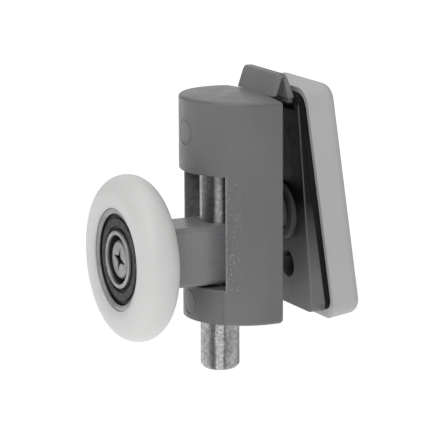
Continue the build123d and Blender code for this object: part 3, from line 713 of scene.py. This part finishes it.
# ---- the wheel ---------------------------------------------------------------------------------
@dataclass
class Wheel:
    """Tyre, bearing rings and seals, all turned about the axle."""

    axle_z: float = AXLE_Z
    mid_y: float = -14.7
    radius: float = 12.75
    half_w: float = 3.2
    rim_r: float = 9.6
    dish_turn: float = 28.4
    lip_r: float = 7.88
    bearing_r: float = 8.0
    face_y: float = -17.2
    width: float = 5.0
    bore_r: float = 7.0
    inner_out: float = 4.4
    inner_in: float = 2.5
    seat_r: float = 3.75
    seat_depth: float = 1.95
    bead_r: float = 7.25
    bead_h: float = 0.12
    land: float = 1.1
    race_r: float = 7.3
    race_from: float = 1.3
    seal_recess: float = 0.25
    seal_t: float = 0.4
    seal_outer: float = 6.98
    seal_inner: float = 4.53
    lip_set: float = 0.05
    face_set: float = 0.04
    groove_t: float = 0.3
    inner_groove: tuple = (4.62, 4.72, 4.98, 5.06)
    outer_groove: tuple = (6.28, 6.36, 6.88, 6.92)

    def crown(self, steps: int = 56) -> np.ndarray:
        """Tread and faces: an ellipse about (rim_r, mid_y) that turns inward past both sides."""
        reach = math.pi / 2 + math.radians(self.dish_turn)
        t = np.linspace(-reach, reach, steps)
        radius = self.rim_r + (self.radius - self.rim_r) * np.cos(t)
        return np.stack([radius, self.mid_y + self.half_w * np.sin(t)], axis=-1)

    def tyre(self) -> bpy.types.Object:
        """Round-sectioned tyre with rounded lips over the bearing's edges."""
        crown = self.crown()
        end_r, front = crown[0]
        back = crown[-1, 1]
        rear = self.face_y + self.width
        beyond = end_r + 0.2     # the last two corners only lead the lips' roundings and are dropped
        inside = rounded_profile([(self.lip_r, back, 0.1), (self.lip_r, rear, 0.03),
                                  (self.bearing_r, rear, 0.0), (self.bearing_r, self.face_y, 0.0),
                                  (self.lip_r, self.face_y, 0.03), (self.lip_r, front, 0.1),
                                  (beyond, front, 0.0), (beyond, back, 0.0)], 5)
        loop = np.concatenate([crown, inside[:-2]])
        return lathe("tyre_nylon", loop, self.axle_z, 256)

    def outer_ring(self) -> bpy.types.Object:
        """Outer ring with ground bevels and a raised inner bead at each face."""
        y0 = self.face_y
        y1 = self.face_y + self.width
        loop = rounded_profile([(self.bearing_r, y0, 0.28), (self.bearing_r, y1, 0.28),
                                (self.bead_r, y1, 0.06), (self.bead_r, y1 - self.bead_h, 0.04),
                                (self.bore_r, y1 - self.bead_h, 0.06), (self.bore_r, y1 - self.land, 0.04),
                                (self.race_r, y1 - self.race_from, 0.0),
                                (self.race_r, y0 + self.race_from, 0.0),
                                (self.bore_r, y0 + self.land, 0.04), (self.bore_r, y0 + self.bead_h, 0.06),
                                (self.bead_r, y0 + self.bead_h, 0.04), (self.bead_r, y0, 0.06)], 4)
        return lathe("bearing_ring_outer", loop, self.axle_z, 192)

    def inner_ring(self) -> bpy.types.Object:
        """Inner ring with the counterbore that takes the screw head."""
        y0 = self.face_y
        y1 = self.face_y + self.width
        seat = y0 + self.seat_depth
        loop = rounded_profile([(self.inner_out, y0, 0.12), (self.inner_out, y1, 0.12),
                                (self.inner_in, y1, 0.1), (self.inner_in, seat, 0.05),
                                (self.seat_r, seat, 0.08), (self.seat_r, y0, 0.1)], 4)
        return lathe("bearing_ring_inner", loop, self.axle_z, 128)

    def seal(self, name: str, outer_y: float, facing: float) -> bpy.types.Object:
        """Moulded seal: a flat mottled face between two deep grooves, closed behind.

        A groove holds four radii: of its inner edge, of its floor's two edges and of its outer edge.

        Args:
            name: the piece's name.
            outer_y: y of the seal's outer face.
            facing: 1 where the seal's inside lies towards +Y, else -1.

        Returns:
            The seal as an object.
        """
        lip = outer_y + facing * self.lip_set
        face = outer_y + facing * self.face_set
        deep = outer_y + facing * self.groove_t
        back = outer_y + facing * self.seal_t
        in_lip, in_low, in_high, in_face = self.inner_groove
        out_face, out_low, out_high, out_rim = self.outer_groove
        loop = rounded_profile([(self.seal_outer, outer_y, 0.02), (self.seal_outer, back, 0.0),
                                (self.seal_inner, back, 0.0), (self.seal_inner, lip, 0.02),
                                (in_lip, lip, 0.02), (in_low, deep, 0.03), (in_high, deep, 0.03),
                                (in_face, face, 0.05), (out_face, face, 0.05), (out_low, deep, 0.03),
                                (out_high, deep, 0.03), (out_rim, outer_y, 0.02)], 3)
        return lathe(name, loop, self.axle_z, 160, 40)

    def make(self) -> None:
        """Builds and dresses the wheel's pieces."""
        front = self.face_y + self.seal_recess
        back = self.face_y + self.width - self.seal_recess
        dress(self.tyre(), Finish.TYRE, "wheel", ("tyre",))
        dress(self.outer_ring(), Finish.RING, "wheel", ("bearing_outer_ring",))
        dress(self.inner_ring(), Finish.RING, "plunger", ("bearing_inner_ring",))
        dress(self.seal("seal_front", front, 1.0), Finish.SEAL, "wheel",
              ("bearing_seal_front",))
        dress(self.seal("seal_rear", back, -1.0), Finish.SEAL, "wheel",
              ("bearing_seal_rear",))
        dress_node("bearing_balls", Finish.BALL)
        dress_node("bearing_cage", Finish.SPRING)


# ---- the plunger -------------------------------------------------------------------------------
@dataclass
class Plunger:
    """Push rod, carrier and the fasteners in it."""

    rod_r: float = 3.0
    rod_low: float = -8.2
    rod_top: float = 25.4
    chamfer: float = 0.6
    bore_r: float = 2.2
    bore_depth: float = 8.9
    relief: float = 0.2
    relief_h: float = 0.8
    axle_z: float = AXLE_Z
    head_seat: float = -15.25
    head_r: float = 3.18
    head_h: float = 1.6
    head_round: float = 0.72
    shank_r: float = 1.95
    tip_y: float = -4.6
    head_dome: float = 0.06
    drive_arm: float = 1.9
    drive_depth: float = 1.1
    drive_turn: float = 0.22
    arm_tip: float = 0.13
    arm_flare: float = 0.5

    def rod(self, sides: int = 128) -> bpy.types.Object:
        """Bar with a softened chamfer below and the spring's bore above, turned about Z."""
        r = self.rod_r
        low = self.rod_low
        top = self.rod_top
        floor = top - self.bore_depth
        step = 0.02              # the relief's ends slope a little
        corners = [(0.0, low, 0.0), (r - self.chamfer, low, 0.25), (r, low + self.chamfer, 0.35),
                   (r, -step, 0.0), (r - self.relief, 0.0, 0.0), (r - self.relief, self.relief_h, 0.0),
                   (r, self.relief_h + step, 0.0), (r, top, 0.2), (self.bore_r, top, 0.1),
                   (self.bore_r, floor, 0.0), (0.0, floor, 0.0)]
        profile = rounded_profile(corners, 5)
        turn = turns(sides)
        radius = profile[None, :, 0]
        height = np.broadcast_to(profile[None, :, 1], (sides, len(profile)))
        points = np.stack([radius * np.cos(turn), radius * np.sin(turn), height], axis=-1)
        return mesh_object("rod_bar", points.reshape(-1, 3), grid_faces(sides, len(profile), True, False))

    def screw(self, sides: int = 240, rings: int = 90) -> bpy.types.Object:
        """Pan-head screw with a star-shaped drive recess, on a polar grid about the axle.

        The head's top at radius r is y = top + round * (1 - sqrt(1 - q^2)) + dome * (r / head_r)^2,
        where q is how far r reaches into the edge rounding.  In the drive's own turned axes (u, v),
        a = min(|u|, |v|), m = max(|u|, |v|) and c = 1 - m / arm: an arm's half width is
        w = tip + flare * c^1.3, and the recess adds depth * sqrt(c) times a smooth step of (w - a).

        Args:
            sides: steps round the axis.
            rings: steps from the middle of the head to its rim.

        Returns:
            The screw as an object.
        """
        top = self.head_seat - self.head_h
        turn = turns(sides)
        radius = np.linspace(0, self.head_r, rings)[None, :]
        q = np.clip((radius - self.head_r + self.head_round) / self.head_round, 0, 1)
        y = top + self.head_round * (1 - np.sqrt(1 - q ** 2))
        y = y + self.head_dome * (radius / self.head_r) ** 2
        u = np.abs(radius * np.cos(turn + self.drive_turn))
        v = np.abs(radius * np.sin(turn + self.drive_turn))
        a = np.minimum(u, v)
        m = np.maximum(u, v)
        reach = np.clip(1 - m / self.drive_arm, 0, 1)
        step = np.clip((self.arm_tip + self.arm_flare * reach ** 1.3 - a) / 0.1, 0, 1)
        step = step * step * (3 - 2 * step)
        y = y + self.drive_depth * np.sqrt(reach) * step * (m < self.drive_arm)
        cap = np.stack([radius * np.cos(turn), y, self.axle_z + radius * np.sin(turn)], axis=-1)
        tail = np.array([(self.head_r, self.head_seat - 0.25), (self.head_r - 0.1, self.head_seat),
                         (self.shank_r, self.head_seat), (self.shank_r, self.tip_y - 0.3),
                         (self.shank_r - 0.4, self.tip_y), (0.0, self.tip_y)])
        low = np.broadcast_to(tail[None, :, 1], (sides, len(tail)))
        body = np.stack([tail[None, :, 0] * np.cos(turn), low,
                         self.axle_z + tail[None, :, 0] * np.sin(turn)], axis=-1)
        points = np.concatenate([cap, body], axis=1)
        return mesh_object("axle_screw_pan", points.reshape(-1, 3),
                           grid_faces(sides, rings + len(tail), True, False), 38)

    def make(self) -> None:
        """Builds and dresses the plunger's pieces."""
        dress(self.rod(), Finish.BAR, "plunger", ("push_rod",))
        dress(carried_copy("carrier_block", "wheel_carrier"), Finish.CARRIER, "plunger",
              ("wheel_carrier",))
        dress(self.screw(), Finish.SCREW, "plunger", ("axle_screw",))
        dress_node("carrier_pin", Finish.PIN)
        dress_node("axle_insert", Finish.BRASS)
        dress_node("axle_sleeve", Finish.SLEEVE)


# ---- the housing and the bracket ---------------------------------------------------------------
@dataclass
class Housing:
    """Fixed mouldings: housing, bush, bracket and the latch tab's root."""

    arc_y: float = 4.1
    radii: tuple = (9.85, 9.75, 9.35, 9.25)
    wedge_tilt: float = WEDGE_TILT

    def make(self) -> None:
        """Builds and dresses the housing's pieces."""
        shell = exact_normals(carried_copy("housing_shell", "housing"), self.arc_y, self.radii,
                              ((1, 0, 0), (-1, 0, 0), (0, 1, 0)))
        tilt = math.radians(self.wedge_tilt)
        wedge = exact_normals(carried_copy("bracket_wedge", "bracket"), self.arc_y, (),
                              ((1, 0, 0), (-1, 0, 0), (0, -math.cos(tilt), -math.sin(tilt)), (0, -1, 0)))
        dress(shell, Finish.HOUSING, "mount", ("housing",))
        dress(wedge, Finish.BRACKET, "mount", ("bracket",))
        dress(carried_copy("tab_root_leg", "tab_root"), Finish.TAB, "mount", ("tab_root",))
        dress(carried_copy("tab_front_leg", "tab_leaf"), Finish.TAB, "latch_tab",
              ("tab_leaf",))
        dress_node("guide_bush", Finish.BUSH)
        dress_node("return_spring", Finish.SPRING)
        dress_node("clamp_insert", Finish.SLEEVE)
        dress_node("glass_bush", Finish.BUSH)


# ---- the glass clamp ---------------------------------------------------------------------------
@dataclass
class Clamp:
    """Gasket and outer cover, on planes parallel to the clamp plane."""

    tilt: float = 8.0

    def make(self) -> None:
        """Builds and dresses the clamp's pieces."""
        tilt = math.radians(self.tilt)
        out = np.array([0.0, math.cos(tilt), math.sin(tilt)])
        up = np.array([0.0, -math.sin(tilt), math.cos(tilt)])
        plate = exact_normals(carried_copy("cover_plate", "cover"), 0.0, (),
                              ((1, 0, 0), (-1, 0, 0), tuple(out), tuple(-out), tuple(up), tuple(-up)))
        dress(plate, Finish.COVER, "clamp_cover", ("cover",))
        dress(carried_copy("gasket_sheet", "gasket"), Finish.GASKET, "mount", ("gasket",))
        dress_node("cover_pad", Finish.GASKET)
        dress_node("clamp_screw", Finish.CLAMP_SCREW)
        dress_node("cover_plug", Finish.COVER)


# ---- the studio --------------------------------------------------------------------------------
@dataclass(frozen=True)
class SoftLight:
    """Square area light aimed at the middle of the object.

    Its azimuth is 0 on the wheel's side and 90 on the +X side, and both angles are in degrees.  Reach
    and size are in metres, and glow is the radiance that it gives a white surface that faces it.
    """

    name: str
    azimuth: float
    elevation: float
    reach: float
    size: float
    glow: float

    def make(self, target: tuple) -> None:
        """Puts up the light: a facing white surface takes glow at a power of glow (pi reach)^2."""
        data = bpy.data.lights.new(self.name, "AREA")
        data.size = self.size
        data.energy = self.glow * (math.pi * self.reach) ** 2
        lamp = bpy.data.objects.new(self.name, data)
        a = math.radians(self.azimuth)
        e = math.radians(self.elevation)
        away = Vector((math.sin(a) * math.cos(e), -math.cos(a) * math.cos(e), math.sin(e)))
        lamp.location = Vector(target) * MM + away * self.reach
        lamp.rotation_euler = away.to_track_quat("Z", "Y").to_euler()
        bpy.context.scene.collection.objects.link(lamp)


@dataclass
class Studio:
    """Pale floor, soft lights and the camera."""

    azimuth: float = 64.09
    elevation: float = 11.69
    roll: float = -0.285
    distance: float = 421.0
    lens: float = 222.1
    target: tuple = (1.13, 0.14, 14.92)
    floor_z: float = -60.0
    floor_half: float = 6000.0
    surroundings: float = 0.24
    lights: tuple = (SoftLight("key_light", 40, 38, 1.0, 0.5, 0.30),
                     SoftLight("top_light", 0, 88, 1.5, 1.6, 0.44),
                     SoftLight("back_light", 244, 24, 1.5, 1.4, 0.14))

    def camera(self) -> None:
        """Camera on a long lens that looks at the target from the front right, a little above."""
        a = math.radians(self.azimuth)
        e = math.radians(self.elevation)
        roll = math.radians(self.roll)
        back = np.array([math.sin(a) * math.cos(e), -math.cos(a) * math.cos(e), math.sin(e)])
        level = np.array([math.cos(a), math.sin(a), 0.0])
        upright = np.cross(back, level)
        right = level * math.cos(roll) + upright * math.sin(roll)
        up = upright * math.cos(roll) - level * math.sin(roll)
        place = (np.array(self.target) + back * self.distance) * MM
        data = bpy.data.cameras.new("camera")
        data.lens = self.lens
        data.sensor_width = 36.0
        data.clip_start = 0.01
        data.clip_end = 20.0
        eye = bpy.data.objects.new("camera", data)
        matrix = np.eye(4)
        matrix[:3, 0] = right
        matrix[:3, 1] = up
        matrix[:3, 2] = back
        matrix[:3, 3] = place
        eye.matrix_world = Matrix(matrix.tolist())
        bpy.context.scene.collection.objects.link(eye)
        bpy.context.scene.camera = eye

    def floor(self) -> None:
        """Wide pale floor, well under the object, that glows more away from the camera's side."""
        side = self.floor_half
        corners = np.array([(-side, -side), (side, -side), (side, side), (-side, side)])
        points = np.column_stack([corners, np.full(4, self.floor_z)])
        plane = mesh_object("floor", points, np.array([[0, 1, 2, 3]]))
        g = Graph("pale_floor")
        a = math.radians(self.azimuth)
        beyond = g.math("SUBTRACT", g.math("MULTIPLY", g.place("Y"), math.cos(a)),
                        g.math("MULTIPLY", g.place("X"), math.sin(a)))
        glow = g.remap(beyond, -0.1, 0.7, 0.36, 0.62)
        g.set(Base_Color=grey(0.8), Roughness=0.8, Emission_Color=grey(1.0), Emission_Strength=glow)
        plane.data.materials.append(g.material)

    def make(self) -> None:
        """Sets up the camera, the floor, the lights and the pale surroundings."""
        self.camera()
        self.floor()
        for light in self.lights:
            light.make(self.target)
        world = bpy.data.worlds.new("studio")
        world.use_nodes = True
        background = world.node_tree.nodes["Background"]
        background.inputs["Color"].default_value = grey(1.0)
        background.inputs["Strength"].default_value = self.surroundings
        bpy.context.scene.world = world
        bpy.context.scene.view_settings.view_transform = "Standard"


def main() -> None:
    """Builds every sub-assembly in order."""
    logging.basicConfig(level=logging.INFO, format="%(message)s")
    for group in (Wheel(), Plunger(), Housing(), Clamp(), Studio()):
        group.make()


if __name__ == "__main__":
    main()
